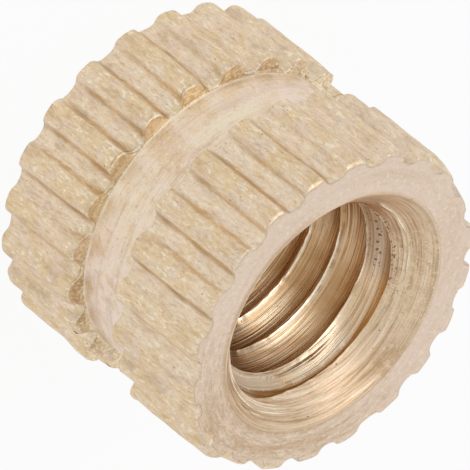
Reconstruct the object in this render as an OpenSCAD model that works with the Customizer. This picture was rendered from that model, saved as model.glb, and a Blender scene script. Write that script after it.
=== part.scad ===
// Threaded insert: a turned brass bush with two straight-knurled bands, a smooth groove between
// them and a tapped through bore. It is pressed, moulded or heat-set into plastic, and a screw
// then goes into its bore. The bush stands on its rear end, and the screw enters from the top.

/* [Body] */
// Length from the rear end to the front face
body_l = 6; // [5:0.1:12]
// Diameter over the crests of the knurl
knurl_d = 7.5; // [7.2:0.1:9]

/* [Knurl] */
// Number of teeth round each band
teeth = 22; // [18:1:26]
// Depth of the valleys below the crests
tooth_depth = 0.235; // [0.15:0.005:0.3]
// Angle between the two flanks of a valley
flank_angle = 90; // [70:5:100]
// Radius of the round bottom of a valley
valley_r = 0.3; // [0.1:0.02:0.34]

/* [Groove] */
// Length of the rear band, from the rear end to the groove
rear_band_l = 2.15; // [1.2:0.05:2.5]
// Width of the groove along the axis
groove_w = 1.42; // [0.6:0.02:1.8]
// Depth of the groove's floor below the crests
groove_depth = 0.43; // [0.32:0.01:0.6]
// Radius of the corners at the groove's floor
groove_corner_r = 0.06; // [0.02:0.01:0.12]

/* [Edges] */
// Chamfer round the front face
front_chamfer = 0.12; // [0.05:0.01:0.2]
// Chamfer round the rear end
rear_chamfer = 0.05; // [0.02:0.01:0.12]

/* [Bore] */
// Core diameter of the thread, which is the drilled hole
core_d = 4.25; // [3.2:0.05:4.6]
// Diameter of the countersink in the front face
front_mouth_d = 5.5; // [5:0.05:5.8]
// Diameter of the countersink in the rear end
rear_mouth_d = 5.2; // [5:0.05:5.8]
// Angle of both countersinks
countersink_angle = 90; // [60:5:120]

/* [Hidden] */
$fn = 96;

brass = "#c8b084";

// How far each cutter stands out past what it cuts
over = 0.5;

crest_r = knurl_d / 2;
floor_r = crest_r - groove_depth;
groove_start = rear_band_l;
groove_end = rear_band_l + groove_w;

// Where the two flanks of a valley would meet, below its round bottom
flank = flank_angle / 2;
valley_centre = crest_r - tooth_depth + valley_r;
valley_apex = valley_centre - valley_r / sin(flank);

function cone_depth(mouth_d) = (mouth_d - core_d) / 2 / tan(countersink_angle / 2);

// What the knurling wheel presses out between two teeth, on the X axis
module valley() {
    outer = crest_r + over;
    outer_half = (outer - valley_apex) * tan(flank);
    tangent_x = valley_centre - valley_r * sin(flank);
    tangent_y = valley_r * cos(flank);
    translate([valley_centre, 0]) circle(r = valley_r);
    polygon([
        [tangent_x, -tangent_y],
        [outer, -outer_half],
        [outer, outer_half],
        [tangent_x, tangent_y],
    ]);
}

// Cross-section of both bands: one knurling pass cuts them, so their teeth are in line
module toothed_section() {
    difference() {
        circle(r = crest_r);
        for (i = [0 : teeth - 1]) rotate(i * 360 / teeth) valley();
    }
}

// Half section of the turned blank, with a chamfer at each end
module blank_profile() {
    polygon([
        [0, 0],
        [crest_r - rear_chamfer, 0],
        [crest_r, rear_chamfer],
        [crest_r, body_l - front_chamfer],
        [crest_r - front_chamfer, body_l],
        [0, body_l],
    ]);
}

// Half section of the groove that the turning tool plunges, round at the corners of its floor
module groove_profile() {
    corner_x = floor_r + groove_corner_r;
    width = crest_r + over - floor_r;
    difference() {
        translate([floor_r, groove_start]) square([width, groove_w]);
        for (end = [groove_start, groove_end]) {
            inward = end == groove_start ? 1 : -1;
            difference() {
                translate([floor_r, end - (inward > 0 ? 0 : groove_corner_r)])
                    square(groove_corner_r);
                translate([corner_x, end + inward * groove_corner_r]) circle(r = groove_corner_r);
            }
        }
    }
}

// The drilled core with its two countersinks
module bore() {
    front_cone = cone_depth(front_mouth_d);
    rear_cone = cone_depth(rear_mouth_d);
    translate([0, 0, -over]) cylinder(d = core_d, h = body_l + 2 * over);
    translate([0, 0, body_l - front_cone]) cylinder(d1 = core_d, d2 = front_mouth_d, h = front_cone);
    cylinder(d1 = rear_mouth_d, d2 = core_d, h = rear_cone);
}

module insert() {
    color(brass)
        difference() {
            intersection() {
                linear_extrude(body_l) toothed_section();
                rotate_extrude() blank_profile();
            }
            rotate_extrude() groove_profile();
            bore();
        }
}

insert();
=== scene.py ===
import math
from types import SimpleNamespace

import bmesh
import bpy
import numpy as np
from mathutils import Matrix, Vector


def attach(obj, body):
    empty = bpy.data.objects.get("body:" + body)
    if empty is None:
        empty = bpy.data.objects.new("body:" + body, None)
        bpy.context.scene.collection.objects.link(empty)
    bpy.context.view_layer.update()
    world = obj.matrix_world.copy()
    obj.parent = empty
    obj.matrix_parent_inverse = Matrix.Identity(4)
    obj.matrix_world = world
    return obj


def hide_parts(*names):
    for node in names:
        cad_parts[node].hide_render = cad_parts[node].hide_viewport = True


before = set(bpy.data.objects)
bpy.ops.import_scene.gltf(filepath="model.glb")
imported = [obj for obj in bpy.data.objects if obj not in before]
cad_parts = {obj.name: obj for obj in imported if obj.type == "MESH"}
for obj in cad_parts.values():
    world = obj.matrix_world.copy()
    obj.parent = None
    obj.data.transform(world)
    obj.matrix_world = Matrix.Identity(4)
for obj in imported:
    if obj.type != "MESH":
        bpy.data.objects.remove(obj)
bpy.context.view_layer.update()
mm = 0.001  # in metres; lengths below are in mm where no note says otherwise
print("frame loaded")


class Wire:
    # one socket that takes part in sums; numbers on either side become inputs
    def __init__(self, finish, socket):
        self.finish = finish
        self.socket = socket
        self.isVector = socket.type in ("VECTOR", "RGBA")

    def maths(self, operation, first, second):
        if any(isinstance(w, Wire) and w.isVector for w in (first, second)):
            first, second = [w if isinstance(w, (Wire, tuple)) else (w, w, w) for w in (first, second)]
            return self.finish.node("ShaderNodeVectorMath", {"operation": operation}, {0: first, 1: second})
        return self.finish.node("ShaderNodeMath", {"operation": operation}, {0: first, 1: second})

    def __add__(self, other):
        return self.maths("ADD", self, other)

    __radd__ = __add__

    def __sub__(self, other):
        return self.maths("SUBTRACT", self, other)

    def __rsub__(self, other):
        return self.maths("SUBTRACT", other, self)

    def __mul__(self, other):
        return self.maths("MULTIPLY", self, other)

    __rmul__ = __mul__

    def __truediv__(self, other):
        return self.maths("DIVIDE", self, other)

    def __pow__(self, other):
        return self.maths("POWER", self, other)

    def cos(self):
        return self.maths("COSINE", self, 0.0)

    def sin(self):
        return self.maths("SINE", self, 0.0)


class Finish:
    # the node tree of a material or a world
    def __init__(self, owner):
        owner.use_nodes = True
        self.tree = owner.node_tree
        self.tree.nodes.clear()

    def node(self, kind, settings=None, inputs=None, out=0):
        made = self.tree.nodes.new(kind)
        for name, value in (settings or {}).items():
            setattr(made, name, value)
        for name, value in (inputs or {}).items():
            if isinstance(value, Wire):
                self.tree.links.new(value.socket, made.inputs[name])
            else:
                made.inputs[name].default_value = value
        return Wire(self, made.outputs[out]) if len(made.outputs) else made

    def wires(self, kind, inputs=None):
        # every output of a new node, by name
        made = self.node(kind, {}, inputs).socket.node
        return {output.name: Wire(self, output) for output in made.outputs}

    def attribute(self, name):
        return self.node("ShaderNodeAttribute", {"attribute_name": name}, out="Fac")

    def grain(self, vector, detail, rough, warp):
        return self.node("ShaderNodeTexNoise", {"noise_dimensions": "3D"},
                         {"Vector": vector, "Scale": 1.0, "Detail": detail,
                          "Roughness": rough, "Distortion": warp}, "Fac")

    def ramp(self, wire, low, high, toLow=0.0, toHigh=1.0):
        return self.node("ShaderNodeMapRange", {"interpolation_type": "SMOOTHSTEP", "clamp": True},
                         {"Value": wire, "From Min": low, "From Max": high,
                          "To Min": toLow, "To Max": toHigh})

    def mix(self, share, first, second):
        return self.node("ShaderNodeMix", {"data_type": "RGBA", "blend_type": "MIX"},
                         {0: share, 6: first, 7: second}, 2)

    def vector(self, x, y, z):
        return self.node("ShaderNodeCombineXYZ", {}, {0: x, 1: y, 2: z})


cameraValues = {
    "azimuth": -13.508,  # degrees round from +X
    "fromAxis": 54.669,  # degrees between the line of sight and the bore
    "roll": 128.703,  # degrees
    "distance": 367.84,
    "aimHeight": 3.0,
    "slideRight": -0.06330,
    "slideUp": 0.03190,
    "lens": 1398.5,
    "sensor": 36.0,
    "nearest": 50.0,
    "farthest": 20000.0,
}


def makeCamera(v):
    turn = math.radians(v["azimuth"])
    tilt = math.radians(v["fromAxis"])
    roll = math.radians(v["roll"])
    back = Vector((math.sin(tilt) * math.cos(turn), math.sin(tilt) * math.sin(turn), math.cos(tilt)))
    level = (-back).cross(Vector((0, 0, 1))).normalized()
    rise = level.cross(-back)
    right = level * math.cos(roll) + rise * math.sin(roll)
    up = rise * math.cos(roll) - level * math.sin(roll)
    place = Vector((0, 0, v["aimHeight"])) + back * v["distance"]
    place = (place + right * v["slideRight"] + up * v["slideUp"]) * mm
    data = bpy.data.cameras.new("camera")
    data.lens = v["lens"]
    data.sensor_width = v["sensor"]
    data.clip_start = v["nearest"] * mm
    data.clip_end = v["farthest"] * mm
    camera = bpy.data.objects.new("camera", data)
    camera.matrix_world = Matrix.Translation(place) @ Matrix((right, up, back)).transposed().to_4x4()
    bpy.context.scene.collection.objects.link(camera)
    bpy.context.scene.camera = camera


makeCamera(cameraValues)
print("camera placed")


insertValues = {
    "seed": 7,
    "length": 6,
    "reachX": 3.73,  # nothing lies further out, so the mesh stays inside the solid's box
    "reachY": 3.749,
    "joinCloser": 0.0002,  # points nearer than this become one
    "sharpFrom": 50,  # degrees, edges that are shaded as corners

    # knurl
    "teeth": 22,
    "crestR": 3.75,
    "crestLift": 0.004,  # before wear
    "crestLower": 0.015,  # most that one tooth is lower than another
    "valleyR": 3.515,
    "valleyLower": 0.01,
    "flankAt": 4.5,  # degrees from a crest to the middle of its flank
    "flankSpread": 0.35,  # degrees by which flanks differ
    # height of a tooth along its section; places are shares of flankAt
    "toothSection": ((0, 1), (0.3, 0.985), (0.57, 0.93), (0.8, 0.8), (0.9, 0.65), (1, 0.45),
                     (1.1, 0.28), (1.22, 0.16), (1.42, 0.07), (1.6, 0.02), (1.9, 0)),
    # degrees by which each tooth lies off an even spacing
    "toothDrift": (0.3, 1, 1.6, 0.9, 0.6, -3, -1.8, -2, -2.2, -0.4, 0.1, 0.3, 0.2, -0.4,
                   0.3, -0.2, -0.8, -1.9, -1.2, -0.6, -0.4, 0.2),
    # brown lines of painted shade on the flanks: from and to, then width on the section, and evenness
    "creaseStrength": (0.15, 0.8),
    "creasePlace": (0.88, 1.2),
    "creaseWidth": 0.3,
    "creaseEven": 0.6,
    # strength before and after a tooth, where one stands out
    "toothCrease": {18: (0.4, 0.4), 19: (1, 0.3), 20: (0.8, 0.6), 21: (0.6, 0.95), 0: (0.3, 1),
                    1: (0.2, 0.6), 2: (0.15, 0.35)},
    # end walls of the rear band that are darker (above 0) or lighter (below 0)
    "toothWall": {21: 0.7, 3: 0.5, 20: -0.7, 1: -0.6, 0: 0.2, 17: 0.2, 18: -0.3},
    # teeth that stand out: height on the insert, then by how much
    "toothRise": {4: ((0, 0.045), (1.3, 0.05), (1.7, 0.11), (3.6, 0.1), (5.2, 0.115), (5.9, 0.09)),
                  15: ((0, 0.02),), 11: ((0, 0.012),), 12: ((0, 0.012),)},
    "frontWear": {5: 0.09, 7: 0.03, 8: 0.05, 14: 0.13, 15: 0.11},  # crests worn towards the front
    "frontWearFrom": 5.4,
    # the lit side on the section: start, full, fading, gone
    "risingSide": (-1.5, -0.9, 0.15, 0.9),

    # rear end and rear band
    "rearMouthR": 2.6,
    "rearMouthRows": ((-0.03, 0.03), (-0.012, 0.008), (0.02, 0)),  # past the mouth's radius, height
    "rearFaceRadii": (2.8, 3.05, 3.25, 3.36),
    "rearChamfer": 0.05,
    "rearWornLeast": 0.3,  # share of the chamfer that valleys keep
    "rearEdgeRows": ((1.2, 0), (0.8, 0.08), (0.35, 0.45), (0.12, 1)),  # shares of it: inwards, up
    "rearBand": (0.06, 0.07, 26),  # free at its two ends, then rows
    "frontBand": (0.09, 0.19, 29),

    # groove
    "grooveStart": 2.15,
    "grooveEnd": 3.57,
    "grooveR": 3.32,
    "grooveRows": (0.2, 8),  # free at both ends, then rows
    "facing": -21,  # degrees, middle of the side with a painted highlight
    "sheenFrom": (0.8, 0.95),  # cosines from it where the painted highlight starts and is full
    "footShine": (0.15, 0.7),  # painted highlight at the foot of the wall, and what the side with the sheen adds
    "valleyDip": 0.11,  # valleys of the rear band fall towards the groove
    "dipLength": 0.7,
    "tornLength": (0.4, 0.05),  # before the groove, where torn ends start and are full
    "tornCut": 0.008,
    "pastStart": 0.1,  # the rear band's shape holds this far into the groove
    # lip: inwards from the crest, height from the groove's start, share of raggedness
    "lipRows": ((0.003, -0.075, 1), (0.018, -0.03, 1), (0.045, -0.008, 0.8)),
    "wallFoot": 0.03,
    # wall: share of its height, height from the groove's start, share of raggedness
    "wallRows": ((0.72, -0.002, 0.6), (0.5, 0.006, 0.35), (0.25, 0.012, 0.1), (0, 0.02, 0)),
    "footRows": ((0.015, 0.03, 1), (0.004, 0.05, 0.4), (0, 0.09, 0)),  # past floor, height, shine
    "endFootRows": ((0, 0.09), (0.012, 0.05), (0.035, 0.025)),  # past floor, below the groove's end
    "endWallRows": ((0, 0.012), (0.3, 0.006), (0.7, 0)),  # share of its height, below the end
    # burrs: inwards from the crest, out by a burr, height from the end, up by a burr
    "burrRows": ((0.016, 0.02, 0, -0.012), (0.002, 0.024, 0.006, 0)),
    "burrFrom": (0.1, 0.5),
    "burrOnSheen": 0.35,
    "frontBandStart": 0.034,

    # front end
    "frontR": 3.672,  # crests where they meet the front face
    "bevelSlope": 0.95,
    "bevelBlend": 0.05,
    "frontEdgeRows": ((0.13, 0), (0.1, 0.002), (0.07, 0.005), (0.045, 0.01), (0.02, 0.018),
                      (0.005, 0.027)),  # below the face, inwards
    "chipFrom": (0.1, 0.6),
    "chipSection": (-1.5, -1.2, -0.7, -0.1),  # where on the section they lie
    "chipDepth": 0.05,
    "frontFaceInset": 0.045,
    "mouthRim": 0.05,
    "frontFaceShares": (0.98, 0.88, 0.74, 0.6, 0.45, 0.3, 0.15, 0.04),
    "mouthR": 2.75,
    "mouthRows": ((0.045, 0, 0), (0.005, 0.012, 1), (-0.03, 0.035, 0.3)),  # past, below, painted shade

    # front countersink
    "coneSlope": 0.92,  # radius lost per mm of depth
    "coneStart": 0.04,
    # height where its rings give way to helical rows, by the turn
    "coneFoot": ((0, 5.6), (125, 5.6), (195, 5.38), (262, 5.38), (320, 5.6), (360, 5.6)),
    # rings: share of the way to its foot, then height of the ridge by the turn
    "coneRings": (
        (0.1, ((0, 0),)),
        (0.22, ((20, 0), (45, 0.01), (110, 0.01), (130, 0))),
        (0.35, ((20, 0), (45, 0.014), (105, 0.014), (125, 0), (200, 0), (215, 0.012), (262, 0))),
        (0.47, ((0, 0),)),
        (0.59, ((20, 0), (45, 0.022), (105, 0.022), (125, 0))),
        (0.7, ((20, 0), (50, 0.008), (105, 0.008), (125, 0), (195, 0), (215, 0.026), (260, 0.026),
                (275, 0))),
        (0.82, ((20, 0), (50, 0.016), (100, 0.016), (122, 0), (190, 0), (215, 0.01), (270, 0))),
        (0.93, ((20, 0), (45, 0.024), (100, 0.024), (120, 0), (190, 0), (210, 0.015), (272, 0)))),
    # a ridge: above its middle, share of its height, dark, bright, where dark is painted shade below the
    # ridge and bright a painted highlight on it; a plain ring has the first row
    "ridgeRows": ((0.012, 0, 0, 0.2), (0, 1, 0, 1), (-0.012, -0.3, 0.8, 0)),
    "ridgeFull": 0.02,  # a ridge of this height has its full painted shade and highlight

    # thread
    "coreR": 2.125,
    "threadPitch": 0.8,
    "threadHand": 1,  # 1 is left-hand, -1 right-hand
    "threadStart": 5.4,  # deep edge of a crest where the turn is threadStartTurn
    "threadStartTurn": 166.5,  # degrees
    # degrees along the helix from the start of the cut, and the share of its full depth
    "threadDepth": ((60, 0), (105, 0), (125, 0.5), (142, 1), (162, 0.75), (185, 0.35), (210, 0.08),
                    (290, 0.05), (400, 0.8), (440, 1)),
    # below a crest's deep edge: place, radius where fully cut, radius at the start, darkness, which is
    # painted shade
    "threadSection": ((0, 2.125, 2.105, 0), (0.02, 2.165, 2.17, 0.3), (0.06, 2.245, 2.38, 0.3),
                      (0.11, 2.35, 2.44, 0.3), (0.18, 2.5, 2.425, 0.35), (0.31, 2.5, 2.36, 0.5),
                      (0.4, 2.46, 2.315, 0.75), (0.5, 2.395, 2.26, 0.6), (0.6, 2.315, 2.205, 0.35),
                      (0.69, 2.23, 2.155, 0.1), (0.745, 2.172, 2.125, 0), (0.775, 2.125, 2.105, 0),
                      (0.79, 2.105, 2.09, 0), (0.8, 2.125, 2.105, 0)),
    "crestSteps": (0, 0.775, 0.79),  # places of the section that shine
    "crestBlend": (0.12, 0.1, 0.006),  # worn: from this far over the core, within, by
    "cutFrom": (0, 0.06),  # depth below the core where the thread counts as cut
    # degrees along the helix, and how far the edge of the thread lies off it
    "edgeSway": ((85, 0), (112, -0.085), (155, -0.085), (170, -0.06), (188, -0.03), (202, 0),
                 (360, 0), (436, 0.09), (496, 0.085), (512, 0.06), (528, 0.03), (545, 0.025),
                 (561, 0.05), (580, 0.03), (610, 0)),
    "upperSway": ((0, 1), (0.18, 1), (0.6, 0)),  # by the place, how much a row follows its edge
    "lowerSway": ((0.6, 0), (0.745, 1)),  # and the next one
    "helixTurns": (-2, 9),
    "boreEnd": 0.03,
    "snap": 0.014,  # rows this near to the ends of the bore join them
    "fadeOut": (0.05, 0.15),  # marks fade out over these at its two ends
    "nickWidth": 0.12,  # beside an edge
    # painted shade of the first turn, a narrow cut, and of any turn where it is barely cut
    "firstDark": ((0, 0), (0.06, 0.6), (0.14, 1), (0.31, 1), (0.4, 0.35), (0.45, 0)),
    "barelyDark": ((0, 0), (0.02, 1), (0.11, 0.9), (0.18, 0.3), (0.31, 0)),
    "laterFrom": (225, 330),  # degrees along the helix
    "firstFrom": (76, 98),
    # lighter stretches of the thread's root: share, then start, full, fading, gone
    "lighterTurns": (0.45, (116, 130, 150, 162)),
    "lighterAlong": (0.6, (548, 562, 590, 615)),
    "rootShare": (0.01, 0.08),  # depths of cut where the painted shade starts and is full
    "flankShare": (0, 0.03),
    # a stretch of every turn with painted shade, and how dark it is by the place
    "shadedTurns": (150, 168, 182, 202),
    "shadedStretch": ((0.06, 0), (0.2, 0.95), (0.62, 0.85), (0.72, 0.5), (0.77, 0)),
    "firstShaded": (0.6, 0.4, 0.55),  # share of it on the first turn, between these places
    # painted highlight along the crests' edges: degrees along the helix, then strength
    "edgeShine": ((100, 0.7), (130, 0.4), (150, 0.1), (170, 0), (500, 0.35), (560, 1)),
    "edgeShineFrom": (-0.9, 0.3),
    # cream ridge and flecks behind the first edge
    "ridgeSteps": (0.35, 0.75),
    "ridgeTurns": (0.8, (60, 75, 105, 130)),
    "fleckStep": 0.45,
    "fleckFrom": (-0.5, 0.4),
    "fleckShine": 1.1,
    "fleckEnd": (160, 190),
    # where the tool chattered: start, full, fading, gone
    "chatterTurns": (190, 206, 246, 260),
    "chatterHeights": (4.32, 4.5, 5.32, 5.5),

    # unevenness: its height, cells round the insert, cells along it, seed
    "patterns": {
        "flank": (0.07, 22, 5, 11), "valley": (0.015, 22, 4, 12), "crestWear": (0.008, 60, 14, 13),
        "ripple": (0.007, 150, 22, 14), "fineRipple": (0.005, 330, 40, 15),
        "tornEnd": (0.016, 190, 70, 51), "creaseWander": (0.12, 22, 7, 18),
        "creaseLong": (0.5, 44, 11, 16), "creaseShort": (0.6, 44, 26, 17), "ragged": (0.03, 160, 1, 52),
        "raggedWide": (0.02, 60, 1, 53), "burr": (1, 40, 1, 41), "bevel": (0.02, 66, 1, 21),
        "bevelFine": (0.012, 200, 1, 22), "chip": (1, 110, 1, 23), "tornCrest": (0.006, 90, 40, 31),
        "threadWave": (0.006, 30, 90, 33), "boreGrain": (0.003, 40, 120, 34),
        "nicks": (0.009, 110, 12, 35), "edgeShine": (1, 24, 20, 36), "ridgeHeight": (0.7, 34, 60, 37),
        "ridgeSway": (0.004, 9, 60, 38), "flecks": (1, 80, 40, 39),
    },
}


def softStep(x, low, high):
    t = np.clip((x - low) / (high - low), 0, 1)
    return t * t * (3 - 2 * t)


def window(x, starts, full, fades, gone):
    return softStep(x, starts, full) * (1 - softStep(x, fades, gone))


def softMin(a, b, blend):
    # the smaller one, rounded where they cross
    h = np.clip(0.5 + 0.5 * (b - a) / blend, 0, 1)
    return b * (1 - h) + a * h - blend * h * (1 - h)


def along(points, x):
    # the second number of the points, between them by the first
    return np.interp(x, *zip(*points))


def uneven(v, name, turns, z):
    # smooth random heights in cells that close round the insert
    height, around, cells, seed = v["patterns"][name]
    table = np.random.default_rng(seed).uniform(-1, 1, (around, cells + 2))
    a = (turns / 360.0 % 1.0) * around
    b = np.clip(z / v["length"], 0, 1) * cells
    a0 = np.floor(a).astype(int)
    b0 = np.floor(b).astype(int)
    fa = softStep(a - a0, 0, 1)
    fb = softStep(b - b0, 0, 1)
    a0 = a0 % around
    a1 = (a0 + 1) % around
    low = table[a0, b0] * (1 - fa) + table[a1, b0] * fa
    high = table[a0, b0 + 1] * (1 - fa) + table[a1, b0 + 1] * fa
    return height * (low * (1 - fb) + high * fb)


class Columns:
    # the columns round the insert: turn, tooth, and place on the tooth's section
    def __init__(self, v):
        teeth = v["teeth"]
        pitch = 360.0 / teeth
        rng = np.random.default_rng(v["seed"])
        flank = v["flankAt"] + v["flankSpread"] * rng.uniform(-1, 1, (teeth, 2))
        shares = np.array([place for place, height in v["toothSection"]])
        centres = (np.arange(teeth) + 0.5) * pitch + np.array(v["toothDrift"])
        before = np.append(centres[-1] - 360, centres[:-1])
        after = np.append(centres[1:], centres[0] + 360)
        turns, tooth, section = [], [], []
        for k in range(teeth):
            left = (centres[k] - before[k]) / 2
            right = (after[k] - centres[k]) / 2
            falling = np.minimum(shares * flank[k, 0], left)
            rising = np.minimum(shares * flank[k, 1], right)
            falling[-1] = left
            turns.append(np.concatenate((centres[k] - falling[::-1], centres[k] + rising[1:-1])))
            section.append(np.concatenate((-falling[::-1] / flank[k, 0], rising[1:-1] / flank[k, 1])))
            tooth.append(np.full(2 * len(shares) - 2, k))
        # the last column is the first one again
        self.turns = np.concatenate(turns + [turns[0][:1] + 360])
        self.tooth = np.concatenate(tooth + [tooth[0][:1]])
        self.section = np.concatenate(section + [section[0][:1]])
        self.side = (self.section > 0).astype(int)


def toothShare(v, c, z):
    # 1 on a crest, 0 in a valley
    inCell = 5  # degrees, a turn inside each tooth's cell
    last = v["toothSection"][-1][0]
    sway = uneven(v, "flank", c.tooth * 360 / v["teeth"] + inCell, z)
    return along(v["toothSection"], np.abs(c.section + sway * (1 - (c.section / last) ** 2)))


def toothHeight(v, c, z):
    # radius of the knurl
    turns = c.turns
    start = v["grooveStart"]
    z = z * np.ones_like(turns)
    inRearBand = z < start + v["pastStart"]
    floor = v["valleyR"] - v["valleyLower"] + uneven(v, "valley", turns, z)
    floor = floor - v["valleyDip"] * softStep(z, start - v["dipLength"], start) * inRearBand
    lower = np.random.default_rng(v["seed"] + 1).uniform(0.0, v["crestLower"], v["teeth"])[c.tooth]
    crest = v["crestR"] + v["crestLift"] - lower - uneven(v, "crestWear", turns, z)
    for k, heights in v["toothRise"].items():
        crest = crest + along(heights, z) * (c.tooth == k)
    for k, less in v["frontWear"].items():
        crest = crest - less * (c.tooth == k) * softStep(z, v["frontWearFrom"], v["length"])
    r = floor + (crest - floor) * toothShare(v, c, z)
    r = r + uneven(v, "ripple", turns, z) + uneven(v, "fineRipple", turns, z)
    # tooth ends torn by the grooving tool
    first, full = v["tornLength"]
    torn = softStep(z, start - first, start - full) * inRearBand
    return r + torn * (uneven(v, "tornEnd", turns, z) - v["tornCut"])


def toothShade(v, c, z):
    # painted shade: a brown line along the middle of each flank, stronger on some than on others
    z = z * np.ones_like(c.turns)
    rng = np.random.default_rng(v["seed"] + 2)
    strength = rng.uniform(*v["creaseStrength"], (v["teeth"], 2))
    places = rng.uniform(*v["creasePlace"], (v["teeth"], 2))[c.tooth, c.side]
    for k, sides in v["toothCrease"].items():
        strength[k] = sides
    off = np.abs(c.section) + uneven(v, "creaseWander", c.turns, z) - places
    near = np.exp(-(off / v["creaseWidth"]) ** 2)
    broken = uneven(v, "creaseLong", c.turns, z) + uneven(v, "creaseShort", c.turns, z)
    return np.clip(near * strength[c.tooth, c.side] * (v["creaseEven"] + broken), 0, 1)


class Rows(Columns):
    # rings of points from the rear mouth round the outside and back through the bore
    def __init__(self, v):
        super().__init__(v)
        self.v = v
        self.one = np.ones_like(self.turns)
        self.made = []

    def add(self, r, z, zone, dark=0.0, bright=0.0):
        self.made.append((r * self.one, z * self.one, zone, dark * self.one, bright * self.one))

    def band(self, r, z, bright=0.0):
        self.add(r, z, "band", toothShade(self.v, self, z), bright)

    def knurl(self, z):
        return toothHeight(self.v, self, z)

    def uneven(self, name, z=0.0):
        return uneven(self.v, name, self.turns, z * self.one)


def addRearEnd(v, rows):
    for past, z in v["rearMouthRows"]:
        rows.add(v["rearMouthR"] + past, z, "face")
    for r in v["rearFaceRadii"]:
        rows.add(r, 0.0, "face")
    worn = v["rearWornLeast"] + (1 - v["rearWornLeast"]) * toothShare(v, rows, 0 * rows.turns)
    for inset, rise in v["rearEdgeRows"]:
        z = v["rearChamfer"] * rise
        rows.band(rows.knurl(z) - v["rearChamfer"] * inset * worn, z)


def addBand(rows, first, last, spacing):
    low, high, count = spacing
    for z in np.linspace(first + low, last - high, count):
        rows.band(rows.knurl(z), z)


def addGroove(v, rows):
    start = v["grooveStart"]
    end = v["grooveEnd"]
    floor = v["grooveR"]
    foot = floor + v["wallFoot"]
    ragged = rows.uneven("ragged") + rows.uneven("raggedWide")
    sheenSide = softStep(np.cos(np.radians(rows.turns - v["facing"])), *v["sheenFrom"])
    # from the rear band down to the floor
    top = rows.knurl(start)
    for inset, rise, share in v["lipRows"]:
        rows.band(top - inset, start + rise + ragged * share)
    lip = v["lipRows"][-1][0]
    tone = np.array([v["toothWall"].get(k, 0.0) for k in range(v["teeth"])])[rows.tooth]
    for share, rise, sway in v["wallRows"]:
        rows.add(foot + (top - lip - foot) * share, start + rise + ragged * sway, "wall",
                 np.maximum(tone, 0), np.maximum(-tone, 0))
    # painted highlight along the foot of the wall, stronger on the side with the sheen
    least, added = v["footShine"]
    for past, rise, shine in v["footRows"]:
        rows.add(floor + past, start + rise, "groove", 0.0, (least + added * sheenSide) * shine)
    inset, count = v["grooveRows"]
    for z in np.linspace(start + inset, end - inset, count):
        rows.add(floor, z, "groove")
    for past, down in v["endFootRows"]:
        rows.add(floor + past, end - down, "groove")
    # and up to the front band
    top = rows.knurl(end)
    lip = v["burrRows"][0][0]
    for share, down in v["endWallRows"]:
        rows.add(foot + (top - lip - foot) * share, end - down, "wall")
    burr = softStep(rows.uneven("burr") + v["burrOnSheen"] * sheenSide, *v["burrFrom"])
    for inset, out, rise, up in v["burrRows"]:
        rows.add(top - inset + out * burr, end + rise + up * burr, "band", 0.0, burr)
    rows.band(top, end + v["frontBandStart"])


def addFrontEnd(v, rows):
    length = v["length"]
    bevel = v["frontR"] + rows.uneven("bevel") + rows.uneven("bevelFine")
    chips = softStep(rows.uneven("chip"), *v["chipFrom"]) * window(rows.section, *v["chipSection"])
    for down, inset in v["frontEdgeRows"]:
        outline = softMin(rows.knurl(length - down), bevel + down * v["bevelSlope"], v["bevelBlend"])
        rows.band(outline - inset, length - down, chips * (down < v["chipDepth"]))
    outline = softMin(rows.knurl(length), bevel, v["bevelBlend"]) - v["frontFaceInset"]
    inner = v["mouthR"] + v["mouthRim"]
    for share in v["frontFaceShares"]:
        rows.add(inner + (outline - inner) * share, length, "face")
    for past, down, rim in v["mouthRows"]:
        rows.add(v["mouthR"] + past, length - down, "mouth", rim)


def threadFall(v, turns):
    return (turns - v["threadStartTurn"]) / 360.0 * v["threadPitch"] * v["threadHand"]


def edgeSway(v, onHelix, step):
    # how far a row lies off the helix: it follows the edge above it, and near the next crest that one
    upper = along(v["upperSway"], step) * along(v["edgeSway"], onHelix)
    return upper + along(v["lowerSway"], step) * along(v["edgeSway"], onHelix + 360)


def boreRadius(v, turns, z, sway=0):
    # the deepest of the two countersinks and the thread, and how far the thread is below them
    front = v["mouthR"] - (v["length"] - z) * v["coneSlope"]
    rear = v["rearMouthR"] - z
    blank = np.maximum(front, rear)
    pitch = v["threadPitch"]
    under = v["threadStart"] - threadFall(v, turns) - z + sway
    places, radii, starts, darks = zip(*v["threadSection"])
    hair = 1e-6  # so that an edge counts as part of its own turn
    depth = along(v["threadDepth"], turns + 360 * np.floor(under / pitch + hair))
    thread = np.interp(under % pitch, places, radii) * depth
    thread = thread + np.interp(under % pitch, places, starts) * (1 - depth)
    above, over, wear = v["crestBlend"]
    worn = softStep(v["coreR"] + above - thread, 0, over)
    thread = thread + worn * (wear + uneven(v, "tornCrest", turns, z))
    thread = thread + uneven(v, "threadWave", turns, z)
    cut = np.maximum(thread - blank, 0) * softStep(thread - v["coreR"], *v["cutFrom"])
    return np.maximum(blank, thread) + uneven(v, "boreGrain", turns, z), cut


def coneFoot(v, turns):
    return along(v["coneFoot"], turns % 360)


def addCountersink(v, rows):
    start = v["length"] - v["coneStart"]
    foot = coneFoot(v, rows.turns)
    for share, heights in v["coneRings"]:
        level = share * v["length"]
        height = along(heights, rows.turns % 360) * (1 + rows.uneven("ridgeHeight", level))
        sway = rows.uneven("ridgeSway", level)
        ridgeLight = np.clip(height / v["ridgeFull"], 0, 1)
        count = len(v["ridgeRows"]) if len(heights) > 1 else 1
        for lift, inward, dark, bright in v["ridgeRows"][:count]:
            z = start - share * (start - foot) + sway + lift
            r, cut = boreRadius(v, rows.turns, z)
            rows.add(r - inward * height, z, "bore", dark * ridgeLight, bright * ridgeLight)
    r, cut = boreRadius(v, rows.turns, foot)
    rows.add(r, foot, "bore")


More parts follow.
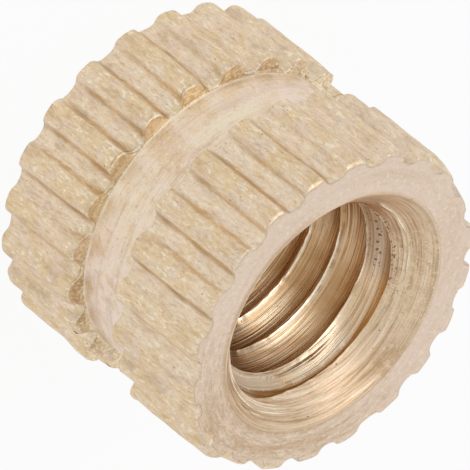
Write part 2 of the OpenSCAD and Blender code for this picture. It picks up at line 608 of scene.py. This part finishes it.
def threadShade(v, turns, onHelix, step):
    # painted shade: the thread is brown in its root, and only behind its edge where it is barely cut
    places, radii, starts, darks = zip(*v["threadSection"])
    depth = along(v["threadDepth"], onHelix)
    full = np.interp(step, places, darks) * depth + along(v["barelyDark"], step) * (1 - depth)
    later = softStep(onHelix, *v["laterFrom"])
    first = (1 - later) * softStep(onHelix, *v["firstFrom"])
    for share, where, x in ((*v["lighterTurns"], turns), (*v["lighterAlong"], onHelix)):
        later = later * (1 - share * window(x, *where))
    return full * later + along(v["firstDark"], step) * first


# painted shade on one stretch of every turn, less on the first turn
def shadedStretch(v, turns, turn, step):
    share, low, high = v["firstShaded"]
    amount = 1.0 if turn > 0 else share * (low < step < high)
    return amount * window(turns, *v["shadedTurns"]) * along(v["shadedStretch"], step)


def threadShine(v, rows, z, turn, step, onHelix):
    # painted highlight on the edges, and the cream ridge and flecks behind the first one
    shine = float(step in v["crestSteps"]) * along(v["edgeShine"], onHelix)
    shine = shine * softStep(rows.uneven("edgeShine", z), *v["edgeShineFrom"])
    low, high = v["ridgeSteps"]
    if turn == 0 and low < step < high:
        share, where = v["ridgeTurns"]
        flecks = v["fleckShine"] * softStep(rows.uneven("flecks", z), *v["fleckFrom"])
        flecks = flecks * (step < v["fleckStep"]) * (1 - softStep(rows.turns, *v["fleckEnd"]))
        shine = np.maximum(share * window(rows.turns, *where), flecks)
    return shine


def addThreadRow(v, rows, turn, step):
    turns = rows.turns
    top = coneFoot(v, turns)
    end = v["boreEnd"]
    pitch = v["threadPitch"]
    edge = v["threadStart"] - threadFall(v, turns) - turn * pitch
    onHelix = turns + 360 * turn
    sway = edgeSway(v, onHelix, step)
    z = edge - step + sway
    z = np.where(z > top - v["snap"], top, np.where(z < end + v["snap"], end, z))
    if z.max() <= end or (z >= top).all():
        return
    atTop, atEnd = v["fadeOut"]
    free = softStep(top - z, 0, atTop) * softStep(z - end, 0, atEnd)
    r, cut = boreRadius(v, turns, z, sway)
    r = np.where(z <= end, v["rearMouthR"] - end, r)
    # nicks beside the nearest edge
    nextCrest = step > pitch / 2
    closeness = max(0.0, 1 - min(step, pitch - step) / v["nickWidth"])
    z = z + closeness * free * rows.uneven("nicks", edge - pitch * nextCrest)
    ends = v["rootShare"] if 0 < step <= pitch / 2 else v["flankShare"]
    dark = threadShade(v, turns, onHelix, step) * softStep(cut, *ends)
    dark = np.maximum(dark, shadedStretch(v, turns, turn, step))
    shine = threadShine(v, rows, z, turn, step, onHelix + 360 * nextCrest)
    rows.add(r, z, "bore", dark * free, shine * free)


def addThread(v, rows):
    # helical rows from the countersink's foot down to the rear mouth
    for turn in range(*v["helixTurns"]):
        for place in v["threadSection"][:-1]:
            addThreadRow(v, rows, turn, place[0])


def gatherRows(v):
    rows = Rows(v)
    addRearEnd(v, rows)
    addBand(rows, v["rearChamfer"], v["grooveStart"], v["rearBand"])
    addGroove(v, rows)
    addBand(rows, v["grooveEnd"], v["length"], v["frontBand"])
    addFrontEnd(v, rows)
    addCountersink(v, rows)
    addThread(v, rows)
    return rows


def markLayers(v, rows, radius, height):
    # what the brass is told about each point
    made = rows.made
    width = len(rows.turns)
    turns = (rows.turns % 360)[None, :]
    layers = {}
    for zone in ("band", "wall", "groove", "face", "mouth", "bore"):
        layers[zone] = np.repeat([float(row[2] == zone) for row in made], width)
    layers["crest"] = layers["band"] * softStep(radius, v["valleyR"], v["crestR"]).reshape(-1)
    layers["dark"] = np.array([row[3] for row in made]).reshape(-1)
    chatter = window(turns, *v["chatterTurns"]) * window(height, *v["chatterHeights"])
    layers["chatter"] = layers["bore"] * chatter.reshape(-1)
    layers["bright"] = np.array([row[4] for row in made]).reshape(-1)
    rising = window(rows.section, *v["risingSide"])
    layers["rising"] = layers["band"] * np.tile(rising, len(made))
    return layers


def buildInsert(v):
    rows = gatherRows(v)
    radius = np.array([row[0] for row in rows.made])
    height = np.array([row[1] for row in rows.made])
    angle = np.radians(rows.turns)[None, :]
    x = np.clip(radius * np.cos(angle), -v["reachX"], v["reachX"])
    y = np.clip(radius * np.sin(angle), -v["reachY"], v["reachY"])
    points = np.stack([x, y, np.clip(height, 0, v["length"])], -1).reshape(-1, 3) * mm
    count, width = radius.shape
    a = np.arange(count)[:, None] * width + np.arange(width - 1)[None, :]
    b = np.roll(a, -1, axis=0)  # the last row joins the first
    quads = np.stack([a, a + 1, b + 1, b], -1).reshape(-1, 4)
    mesh = bpy.data.meshes.new("insertBody")
    mesh.from_pydata(points.tolist(), [], quads.tolist())
    for name, values in markLayers(v, rows, radius, height).items():
        layer = mesh.attributes.new(name, "FLOAT", "POINT")
        layer.data.foreach_set("value", values.astype(np.float32))
    shape = bmesh.new()
    shape.from_mesh(mesh)
    bmesh.ops.remove_doubles(shape, verts=shape.verts, dist=v["joinCloser"] * mm)
    bmesh.ops.recalc_face_normals(shape, faces=shape.faces)
    shape.to_mesh(mesh)
    triangles = sum(len(face.verts) - 2 for face in shape.faces)
    openEdges = sum(1 for edge in shape.edges if len(edge.link_faces) != 2)
    shape.free()
    mesh.shade_smooth()
    mesh.set_sharp_from_angle(angle=math.radians(v["sharpFrom"]))
    piece = bpy.data.objects.new("insertBody", mesh)
    bpy.context.scene.collection.objects.link(piece)
    print("insert mesh:", triangles, "triangles,", openEdges, "open edges")
    return piece


brassValues = {
    "pale": (0.9, 0.72, 0.52, 1),
    "yellow": (0.875, 0.67, 0.425, 1),
    "pink": (0.865, 0.7, 0.55, 1),
    "facePink": (0.765, 0.62, 0.505, 1),
    "conePink": (0.82, 0.615, 0.435, 1),
    "groovePink": (1, 0.845, 0.735, 1),
    "slopePink": (0.97, 0.79, 0.63, 1),
    "grooveCream": (0.98, 0.805, 0.625, 1),
    "grooveTan": (0.9, 0.7, 0.52, 1),
    "cutOrange": (0.87, 0.65, 0.42, 1),
    "sheenCream": (1, 0.845, 0.675, 1),
    "cream": (1, 0.88, 0.69, 1),
    "golden": (0.79, 0.64, 0.41, 1),
    "olive": (0.62, 0.48, 0.27, 1),
    "bronze": (0.6, 0.375, 0.19, 1),
    "brown": (0.52, 0.35, 0.19, 1),
    "creaseBrown": (0.47, 0.345, 0.225, 1),
    "wallBrown": (0.6, 0.44, 0.25, 1),
    "topShadeBrown": (0.52, 0.27, 0.08, 1),
    "lowerShadeBrown": (0.46, 0.25, 0.09, 1),
    "rootBrown": (0.4, 0.22, 0.1, 1),
    "pit": (0.3, 0.18, 0.09, 1),
    "roughness": 0.42,
    "cutRoughness": 0.26,
    "dullness": 0.3,  # how much less metallic the dull places are
    "relief": 0.00002,  # metres, depth of the grain
    # grains: what they run along, scale round the insert, scale up it, detail, roughness, warp
    "grains": {
        "along": ("straight", 5, 1.4, 3, 0.6, 0.4),
        "alongFine": ("straight", 17, 5, 2, 0.7, 0.2),
        "patches": ("straight", 1.2, 1.2, 1, 0.5, 0),
        "blotches": ("straight", 3, 3, 1, 0.5, 0),
        "mottle": ("straight", 7, 7, 2, 0.7, 0),
        "specks": ("straight", 8, 8, 2, 0.65, 0),
        "pits": ("straight", 11, 11, 1, 0.5, 0),
        "flecks": ("straight", 16, 7, 1, 0.5, 0),
        "speckle": ("straight", 24, 24, 2, 0.7, 0),
        "ringWide": ("turned", 1, 4, 3, 0.6, 0.2),
        "ringFine": ("turned", 1.6, 17, 2, 0.75, 0.1),
        "ringSoft": ("turned", 2.3, 5, 1, 0.5, 0.3),
        "dashes": ("turned", 8, 30, 2, 0.7, 0.1),
        "wallLines": ("faced", 3, 22, 2, 0.6, 0.3),
        "scuffs": ("faced", 13, 19, 1, 0.6, 0.6),
        "threadWide": ("thread", 0.8, 2, 3, 0.6, 0.2),
        "threadFine": ("thread", 2.8, 2.6, 2, 0.75, 0.1),
        "drags": ("thread", 2.2, 2, 2, 0.7, 0.2),
        "tickRows": ("thread", 1.7, 0.5, 0, 0.5, 0),
        "ticks": ("level", 40, 16, 0, 0.5, 0),
    },
    # sides: middle in degrees, then the cosines from it where they start and are full
    "sides": {
        "lamp": (143.5, 0.86, 0.98), "shade": (46.5, -0.1, 0.35), "low": (120, 0.4, 0.95),
        "rim": (230, 0.5, 0.85), "mottled": (211.5, 0.78, 0.97), "stained": (166, 0.9803, 0.9973),
        "frontEdge": (180, 0.1, 0.5), "leftEnd": (90, 0.86, 0.98), "farBore": (270, -0.3, 0.15),
        "grooveLeft": (90, 0.15, 0.6), "grooveRight": (270, 0.72, 0.9),
        "polishOne": (-43.5, 0.955, 0.985), "polishTwo": (-3.5, 0.955, 0.985),
        "between": (-23.33, 0.96, 0.985),
    },
    # levels: heights where they start and are full
    "levels": {
        "cone": (5.28, 5.42), "lampLow": (4.3, 4), "rings": (5.1, 4.5), "underMouth": (5.5, 5.2),
        "overFirst": (4.5, 4.62), "underFirst": (4.6, 4.5), "stained": (5.68, 5.8),
        "farBore": (4.8, 4.5), "tornFrom": (1.75, 2.12), "tornTo": (2.5, 2.3), "fresh": (4.9, 5.1),
    },
    "farSide": (0, 3.2),  # y where it starts and is full
    "lampHigh": (4.3, 4.75, 0.4, 1),  # heights, and the lamp's share at each
    "speckleShade": (0.3, 0.7, 0.94, 1.05),  # the grain, and what it multiplies the colour by
    "wallOuter": (3.58, 3.78),
    "lineGaps": (0.3, 0.55),
    "tickGaps": (0.44, 0.54),
    "clusters": (0.46, 0.62),
    # coats of colour: tint, share, and where the grain starts and is full
    "coats": {
        "toothYellow": ("yellow", 1, 0.5, 0.68), "toothPink": ("pink", 0.85, 0.44, 0.62),
        "valleyCream": ("cream", 0.14), "grooveRight": ("groovePink", 0.7),
        "threadLamp": ("cream", 0.55), "threadLines": ("bronze", 0.7, 0.6, 0.42),
        "wallShade": ("wallBrown", 0.75, 0.5, 0.4), "wallLit": ("cream", 0.8, 0.52, 0.6),
        "wallSpecks": ("cream", 0.6, 0.54, 0.62), "wallPits": ("brown", 0.5, 0.45, 0.36),
        "wallTone": ("wallBrown", 0.6), "faceFarShade": ("brown", 0.3), "faceShade": ("brown", 0.85, 3, 2.83),
        "coneLowShade": ("brown", 0.16), "coneOlive": ("olive", 0.3, 0.5, 0.64),
        "frontEdge": ("facePink", 1, 5.55, 5.75), "grooveBetween": ("grooveTan", 0.8),
        "grooveSheen": ("sheenCream", 0.8), "grooveFootShade": ("golden", 1, 2.5, 2.28),
        "grooveWarm": ("yellow", 0.55, 0.5, 0.6), "grooveCool": ("groovePink", 0.65, 0.48, 0.38),
        "streakDark": ("brown", 1, 0.5, 0.3), "fineDark": ("brown", 1, 0.5, 0.32),
        "streakLit": ("cream", 1, 0.5, 0.7), "fineLit": ("cream", 1, 0.52, 0.68),
        "specksLit": ("cream", 1, 0.55, 0.66), "specksDark": ("brown", 0.25, 0.42, 0.3),
        "scuffsDark": ("creaseBrown", 0.5, 0.42, 0.32), "scuffsLit": ("cream", 0.25, 0.6, 0.7),
        "boreRings": ("bronze", 0.75, 0.5, 0.64), "slopeDark": ("bronze", 1, 0.5, 0.38),
        "slopeLit": ("cream", 0.8, 0.5, 0.6), "leftRoot": ("rootBrown", 0.45, 0.54, 0.44),
        "rim": ("creaseBrown", 0.75), "mottleYellow": ("yellow", 0.7, 0.52, 0.62),
        "mottleOlive": ("olive", 0.5, 0.47, 0.37), "mottleCream": ("cream", 0.5, 0.56, 0.66),
        "coneStain": ("brown", 0.55, 0.38, 0.52), "boreLines": ("rootBrown", 1, 0.42, 0.36),
        "ticks": ("pit", 0.9, 0.4, 0.33), "tornGold": ("golden", 0.6, 0.55, 0.42),
        "fleckGold": ("golden", 0.6, 0.46, 0.38), "fleckCream": ("cream", 0.9, 0.57, 0.66),
        "crease": ("creaseBrown", 0.55, 0.05, 0.9), "root": ("bronze", 0.5, 0, 0.8),
        "topBoreShade": ("topShadeBrown", 0.97, 0.3, 1.1), "lowerBoreShade": ("lowerShadeBrown", 0.8, 0.3, 1.1),
        "burrsAndHighlights": ("cream", 1, 0.35, 0.8), "pits": ("pit", 1, 0.25, 0.2),
    },
}


class Brass:
    # where things are on the insert, the grains in its colours, and the colour as coats are laid
    def __init__(self, f, v):
        self.f = f
        self.v = v
        self.colour = v["pale"]
        xyz = f.wires("ShaderNodeSeparateXYZ", {0: f.node("ShaderNodeTexCoord", out="Object") * (1 / mm)})
        self.x = xyz["X"]
        self.y = xyz["Y"]
        self.z = xyz["Z"]
        self.r = (self.x * self.x + self.y * self.y) ** 0.5
        self.cosTurn = self.x / self.r
        self.sinTurn = self.y / self.r
        for name in ("band", "wall", "groove", "face", "mouth", "bore", "crest", "dark", "chatter",
                     "bright", "rising"):
            setattr(self, name, f.attribute(name))
        self.level = SimpleNamespace(**{name: f.ramp(self.z, *ends) for name, ends in v["levels"].items()})
        self.side = SimpleNamespace(**{name: self.facing(*side) for name, side in v["sides"].items()})
        self.farSide = f.ramp(self.y, *v["farSide"])
        self.makeGrains()
        self.cut = self.bore + self.mouth
        self.cone = self.cut * self.level.cone
        self.threaded = self.cut - self.cone
        self.lampSide = self.side.lamp * f.ramp(self.z, *v["lampHigh"])
        self.sheen = self.groove * (self.side.polishOne + self.side.polishTwo)
        # the bore is dull where the tool dragged, at its left end, and where it chattered
        self.leftEnd = self.cut * self.side.leftEnd
        self.dragged = self.leftEnd * self.level.underMouth * self.level.overFirst
        self.dull = self.dragged + self.chatter
        # the tool marks of each zone
        ringed = 1.0 - self.band - self.threaded
        self.boreFine = self.ringFine * self.cone + self.threadFine * (1.0 - self.cone)
        self.streak = self.band * self.along + ringed * self.ringWide + self.threaded * self.threadWide
        fine = self.band * self.alongFine + self.cut * self.boreFine + self.face * self.dashes
        fine = fine + self.groove * (self.dashes * 0.3 + self.ringFine * 0.7)
        self.fine = fine + self.wall * (self.dashes * 0.5 + self.flecks * 0.5)

    def facing(self, degrees, low, high):
        turn = math.radians(degrees)
        return self.f.ramp(self.cosTurn * math.cos(turn) + self.sinTurn * math.sin(turn), low, high)

    def makeGrains(self):
        # along the teeth, round and round on turned faces, and along the helix in the thread
        lead = self.z * (2 * math.pi / insertValues["threadPitch"])
        leadCos = self.cosTurn * lead.cos() - self.sinTurn * lead.sin()
        leadSin = self.sinTurn * lead.cos() + self.cosTurn * lead.sin()
        across = self.z + self.r * (1.0 - self.face * 0.5)
        runs = {
            "straight": (self.x, self.y, self.z),
            "level": (self.cosTurn, self.sinTurn, self.z),
            "turned": (self.cosTurn, self.sinTurn, across),
            "faced": (self.cosTurn, self.sinTurn, self.r),
            "thread": (leadCos, leadSin, self.z),
        }
        for name, (run, scaleRound, scaleUp, detail, rough, warp) in self.v["grains"].items():
            a, b, c = runs[run]
            place = self.f.vector(a * scaleRound, b * scaleRound, c * scaleUp)
            setattr(self, name, self.f.grain(place, detail, rough, warp))

    def lay(self, name, where, grain=None):
        # a full, even coat has the name of its tint
        tint, share, *ends = self.v["coats"].get(name, (name, 1.0))
        amount = where if grain is None else where * self.f.ramp(grain, *ends)
        self.colour = self.f.mix(amount * share, self.colour, self.v[tint])


def paintTeeth(b):
    # painted light: the lit side of each tooth is yellower and less pink
    b.lay("toothYellow", b.band, b.rising * 0.12 + b.crest * 0.06 + b.patches)
    b.lay("toothPink", b.band, b.blotches - b.rising * 0.08)
    b.lay("valleyCream", b.band - b.crest)


def paintTurned(b):
    b.lay("grooveCream", b.groove)
    b.lay("groovePink", b.groove * b.side.grooveLeft)
    b.lay("grooveRight", b.groove * b.side.grooveRight)
    b.lay("facePink", b.face)
    b.lay("cutOrange", b.cut)
    b.lay("conePink", b.cone)
    # painted highlight: cream on the thread's side towards the lamp, and lower down bronze lines that dim
    # it
    b.lay("threadLamp", b.threaded * b.lampSide)
    b.lay("threadLines", b.threaded * b.side.lamp * b.level.lampLow, b.threadFine)


def paintWalls(b):
    # the end walls of the teeth: golden and darker towards the groove, which is painted shade in the
    # corner, with turned lines and torn flecks
    outer = b.f.ramp(b.r + b.flecks * 0.2 + b.wallLines * 0.1, *b.v["wallOuter"])
    b.lay("golden", b.wall * (0.95 - outer * 0.6))
    b.lay("wallShade", b.wall * (1.0 - outer * 0.6), b.wallLines * 0.5 + b.blotches * 0.5)
    b.lay("wallLit", b.wall, b.wallLines * 0.55 + b.flecks * 0.45)
    b.lay("wallSpecks", b.wall, b.specks)
    b.lay("wallPits", b.wall, b.specks)
    b.lay("wallTone", b.wall * b.dark)


def paintFace(b):
    # painted shade: the face is browner on its side away from the lamp
    b.lay("faceFarShade", b.face * b.farSide)
    b.lay("faceShade", b.face * b.side.shade, b.r + b.ringWide * 0.08)
    # painted shade that dims the lamp's highlight on the low side of the countersink
    b.lay("coneLowShade", b.cone * b.side.low)
    b.lay("coneOlive", b.cone, b.blotches)
    # the front edge of the teeth has the face's colour on one side
    b.lay("frontEdge", b.band * b.side.frontEdge, b.z)


def paintGroove(b):
    # painted highlights in two stretches with a duller one between them, and warm and cool patches
    cloud = b.blotches * 0.7 + b.ringWide * 0.3
    b.lay("grooveBetween", b.groove * b.side.between)
    b.lay("grooveSheen", b.sheen)
    # painted shade: golden beside the rear wall, less on the stretches with the painted highlight
    b.lay("grooveFootShade", b.groove * (0.35 - b.sheen * 0.25), b.z + b.ringWide * 0.15)
    b.lay("grooveWarm", b.groove, cloud)
    b.lay("grooveCool", b.groove, cloud)


def paintToolMarks(b):
    marked = b.face * (0.14 + b.farSide * 0.42) + b.band * 0.34 + b.wall * 0.6 + b.groove * 0.26
    marked = marked + b.cut * (0.55 - b.threaded * b.lampSide * 0.35)
    lit = marked * (1.0 - b.face * 0.55) + b.sheen * 0.7
    b.lay("streakDark", marked, b.streak)
    b.lay("fineDark", marked, b.fine)
    b.lay("streakLit", lit, b.streak)
    b.lay("fineLit", lit, b.fine)
    b.colour = b.colour * b.f.ramp(b.speckle, *b.v["speckleShade"])
    b.lay("specksLit", b.face * 0.25 + b.groove * 0.65, b.specks)
    b.lay("specksDark", b.face + b.groove, b.specks)
    b.lay("scuffsDark", b.face * b.farSide, b.scuffs)
    b.lay("scuffsLit", b.face * b.farSide, b.scuffs)


def paintBore(b):
    b.lay("boreRings", b.cut * b.level.rings, b.ringSoft)
    b.lay("slopePink", b.dragged * 0.75 + b.chatter * 0.6)
    b.lay("slopeDark", b.dragged * 0.7 + b.chatter * 0.75, b.drags)
    b.lay("slopeLit", b.dull, b.drags)
    b.lay("leftRoot", b.leftEnd * b.level.underFirst, b.drags)
    # painted shade along the mouth's rim on one side
    b.lay("rim", b.mouth * b.dark * b.side.rim)
    # the countersink is mottled away from the lamp, and stained in one place beside the mouth
    mottled = b.cone * b.side.mottled
    b.lay("mottleYellow", mottled, b.mottle)
    b.lay("mottleOlive", mottled, b.mottle)
    b.lay("mottleCream", mottled, b.speckle)
    b.lay("coneStain", b.cone * b.side.stained * b.level.stained, b.mottle)
    # painted shade: the far side of the bore is browner lower down
    b.lay("bronze", b.cut * b.level.farBore * b.side.farBore * (0.5 - b.chatter * 0.2))
    # thin dark lines, and rows of small dark marks where the tool chattered
    clear = 0.8 - b.cone * 0.4 - b.threaded * b.lampSide * 0.55
    b.lay("boreLines", b.cut * b.f.ramp(b.blotches, *b.v["lineGaps"]) * clear, b.boreFine)
    b.lay("ticks", b.chatter * b.f.ramp(b.tickRows, *b.v["tickGaps"]), b.ticks)


def paintFlecks(b):
    # cream flecks with golden ones beside them, thick where the knurl meets the groove
    torn = b.band * b.level.tornFrom * b.level.tornTo
    clusters = b.f.ramp(b.along + torn * 0.25 + b.rising * 0.06, *b.v["clusters"])
    b.lay("tornGold", torn, b.blotches * 0.5 + b.flecks * 0.5)
    b.lay("fleckGold", clusters * b.band, b.flecks)
    b.lay("fleckCream", clusters * (b.band + b.wall * 0.7), b.flecks)


def paintDark(b):
    # painted shade in the creases and the roots, cream on burrs and chips and painted highlights on edges,
    # and a few pits
    b.lay("crease", b.band, b.dark * (0.2 + b.along * 1.3))
    b.lay("root", b.bore, b.dark)
    boreShade = b.dark * (0.45 + b.fine * 0.5 + b.blotches * 0.5)
    b.lay("topBoreShade", b.bore * b.level.fresh, boreShade)
    b.lay("lowerBoreShade", b.bore * (1.0 - b.level.fresh), boreShade)
    b.lay("burrsAndHighlights", 1.0, b.bright * (0.2 + b.alongFine * 1.4))
    b.lay("pits", 0.6 * b.band + 0.8 * b.cut + 0.2, b.pits)


def makeBrass(v):
    material = bpy.data.materials.new("satinBrass")
    f = Finish(material)
    b = Brass(f, v)
    for coats in (paintTeeth, paintTurned, paintWalls, paintFace, paintGroove, paintToolMarks, paintBore,
                  paintFlecks, paintDark):
        coats(b)
    height = b.streak * (0.65 - b.threaded * 0.35) + b.fine * (0.35 + b.threaded * 0.3)
    height = height + b.band * b.blotches * 0.8
    strength = b.band * 1.2 + b.cut * 1.3 + b.groove * 0.5 + b.face * 0.2
    bump = f.node("ShaderNodeBump", {}, {
        "Strength": 1.0, "Distance": v["relief"], "Height": height * strength})
    rough = v["roughness"] + (b.cut - b.cone * 0.8) * (v["cutRoughness"] - v["roughness"])
    rough = rough + b.groove * 0.1 + b.dragged * 0.3 + b.chatter * 0.2
    shader = f.node("ShaderNodeBsdfPrincipled", {}, {
        "Base Color": b.colour, "Metallic": 1.0 - b.dull * v["dullness"], "Roughness": rough,
        "Normal": bump})
    f.node("ShaderNodeOutputMaterial", {}, {"Surface": shader})
    return material


insert = buildInsert(insertValues)
insert.data.materials.append(makeBrass(brassValues))
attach(insert, "root")
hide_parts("insert")
print("insert made")


studioValues = {
    "floorSize": 0.6,  # metres from the middle to a side
    "floorDrop": 0.00002,  # metres below the rear end, so that the two don't share a plane
    "floorColour": (0.86, 0.86, 0.86, 1),
    "floorShadow": 0.07,  # share of the real shadow that the camera sees
    "floorInMetal": 0.72,  # whiteness that the metal sees in the floor
    "roomLight": (0.55, 0.55, 0.55, 1),
    "white": (1, 1, 1, 1),
    "whiteInMetal": 0.5,
    "glossyBounces": 8,
    "lamps": (  # name, azimuth and elevation in degrees, distance and size in metres, watts
        ("key", -78.0, 57.0, 0.30, 0.22, 0.12),
        ("back", 167.0, 35.0, 0.35, 0.30, 0.05),
    ),
}


def makeFloor(v):
    size = v["floorSize"]
    z = -v["floorDrop"]
    corners = [(-size, -size, z), (size, -size, z), (size, size, z), (-size, size, z)]
    mesh = bpy.data.meshes.new("floor")
    mesh.from_pydata(corners, [], [(0, 1, 2, 3)])
    floor = bpy.data.objects.new("floor", mesh)
    bpy.context.scene.collection.objects.link(floor)
    material = bpy.data.materials.new("paleFloor")
    f = Finish(material)
    path = f.wires("ShaderNodeLightPath")
    seen = (path["Is Camera Ray"] + path["Is Transmission Ray"]) * (1 - v["floorShadow"])
    seen = seen + path["Is Glossy Ray"] * v["floorInMetal"]
    matt = f.node("ShaderNodeBsdfDiffuse", {}, {"Color": v["floorColour"]})
    glow = f.node("ShaderNodeEmission", {}, {"Color": v["white"], "Strength": 1.0})
    mixed = f.node("ShaderNodeMixShader", {}, {0: seen, 1: matt, 2: glow})
    f.node("ShaderNodeOutputMaterial", {}, {"Surface": mixed})
    mesh.materials.append(material)


def makeRoom(v):
    world = bpy.data.worlds.new("paleRoom")
    bpy.context.scene.world = world
    f = Finish(world)
    path = f.wires("ShaderNodeLightPath")
    seen = path["Is Camera Ray"] + path["Is Transmission Ray"] + path["Is Glossy Ray"] * v["whiteInMetal"]
    dim = f.node("ShaderNodeBackground", {}, {"Color": v["roomLight"], "Strength": 1.0})
    white = f.node("ShaderNodeBackground", {}, {"Color": v["white"], "Strength": 1.0})
    mixed = f.node("ShaderNodeMixShader", {}, {0: seen, 1: dim, 2: white})
    f.node("ShaderNodeOutputWorld", {}, {"Surface": mixed})


def makeLamps(v):
    for name, azimuth, elevation, distance, size, watts in v["lamps"]:
        turn = math.radians(azimuth)
        lift = math.radians(elevation)
        out = Vector((math.cos(turn) * math.cos(lift), math.sin(turn) * math.cos(lift), math.sin(lift)))
        data = bpy.data.lights.new(name, "AREA")
        data.shape = "DISK"
        data.size = size
        data.energy = watts
        lamp = bpy.data.objects.new(name, data)
        lamp.location = out * distance
        lamp.rotation_euler = out.to_track_quat("Z", "Y").to_euler()
        bpy.context.scene.collection.objects.link(lamp)


makeFloor(studioValues)
makeRoom(studioValues)
makeLamps(studioValues)
bpy.context.scene.view_settings.view_transform = "Standard"
bpy.context.scene.cycles.glossy_bounces = studioValues["glossyBounces"]
print("studio made")
